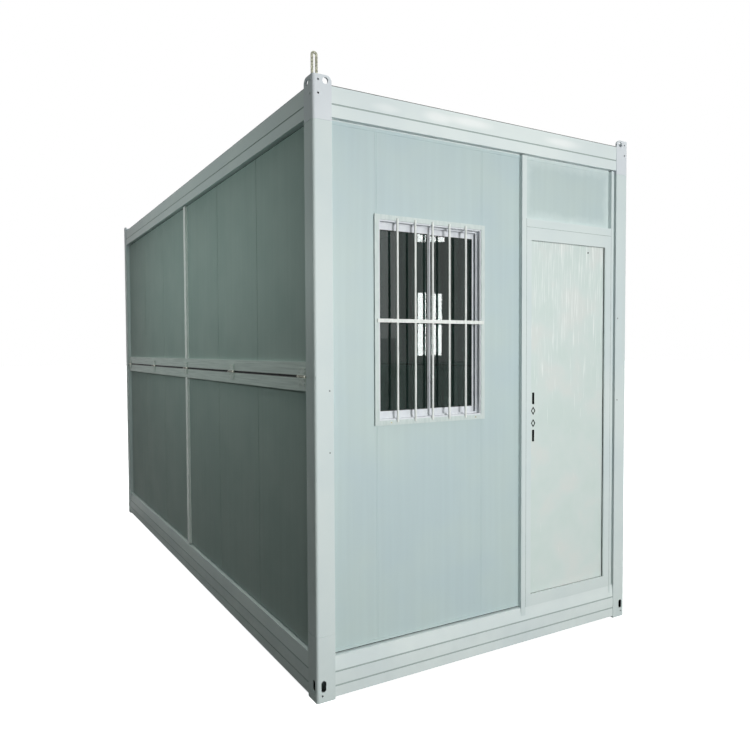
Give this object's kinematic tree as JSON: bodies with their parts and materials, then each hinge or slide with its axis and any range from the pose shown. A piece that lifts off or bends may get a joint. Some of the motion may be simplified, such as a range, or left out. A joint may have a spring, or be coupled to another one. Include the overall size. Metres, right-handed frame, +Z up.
{
  "type": "folding container house",
  "caption": "Box-shaped folding cabin: steel frame on corner fittings, panel walls hinged at mid-height, barred sliding window, an inward-opening door and lifting lugs.",
  "frame": {"origin": "ground level under the middle of the house", "axes": "+Z up, -Y towards the end wall with the door and window, +Y along the length, +X to the right of someone facing the door"},
  "size_m": [2.1, 4.5, 3.015],
  "materials": {
    "frame_paint": "satin baked paint on folded steel sheet",
    "panel_paint": "satin pre-painted steel face of a sandwich panel",
    "side_paint": "satin baked paint on folded steel sheet",
    "roof_paint": "satin pre-painted ribbed steel sheet",
    "door_paint": "satin baked paint under clear protective film",
    "window_white": "gloss white powder coat on aluminium",
    "window_glass": "dark reflective float glass",
    "seal_rubber": "matt black extruded rubber",
    "hinge_zinc": "dull zinc plate",
    "floor_board": "plain board, uncoated"
  },
  "bodies": {
    "house": {"floor_beam_front": "frame_paint", "floor_beam_back": "frame_paint", "floor_beam_left": "frame_paint", "floor_beam_right": "frame_paint", "floor_corner_fittings": "frame_paint", "floor_joists": "frame_paint", "lower_posts": "frame_paint", "upper_posts": "frame_paint", "roof_beam_front": "frame_paint", "roof_beam_back": "frame_paint", "roof_beam_left": "frame_paint", "roof_beam_right": "frame_paint", "roof_corner_fittings": "frame_paint", "front_mullion": "frame_paint", "front_stile": "frame_paint", "transom_bar": "frame_paint", "fold_rails": "side_paint", "side_mullions": "side_paint", "left_lower_panels": "panel_paint", "left_upper_panels": "panel_paint", "right_lower_panels": "panel_paint", "right_upper_panels": "panel_paint", "front_panel_left": "panel_paint", "front_panel_right": "panel_paint", "front_panel_below": "panel_paint", "front_panel_above": "panel_paint", "transom_panel": "panel_paint", "back_panels": "panel_paint", "ceiling_panel": "panel_paint", "roof_sheet": "roof_paint", "floor_board": "floor_board", "side_seals": "seal_rubber", "end_seals": "seal_rubber", "lifting_eye": "hinge_zinc", "side_hinges": "hinge_zinc", "door_hinge_frames": "hinge_zinc", "door_jambs": "door_paint", "door_head": "door_paint", "door_sill": "door_paint", "window_frame": "window_white", "window_sashes": "window_white", "window_grille": "window_white", "window_glass": "window_glass"},
    "door": {"door_leaf": "door_paint", "door_hinge_leaves": "hinge_zinc"}
  },
  "joints": [
    {"name": "door_swing", "type": "hinge", "parent": "house", "child": "door", "pos_m": [0.882, -2.17, 1.262], "axis": [0, 0, -1], "range_deg": [0, 90]}
  ]
}
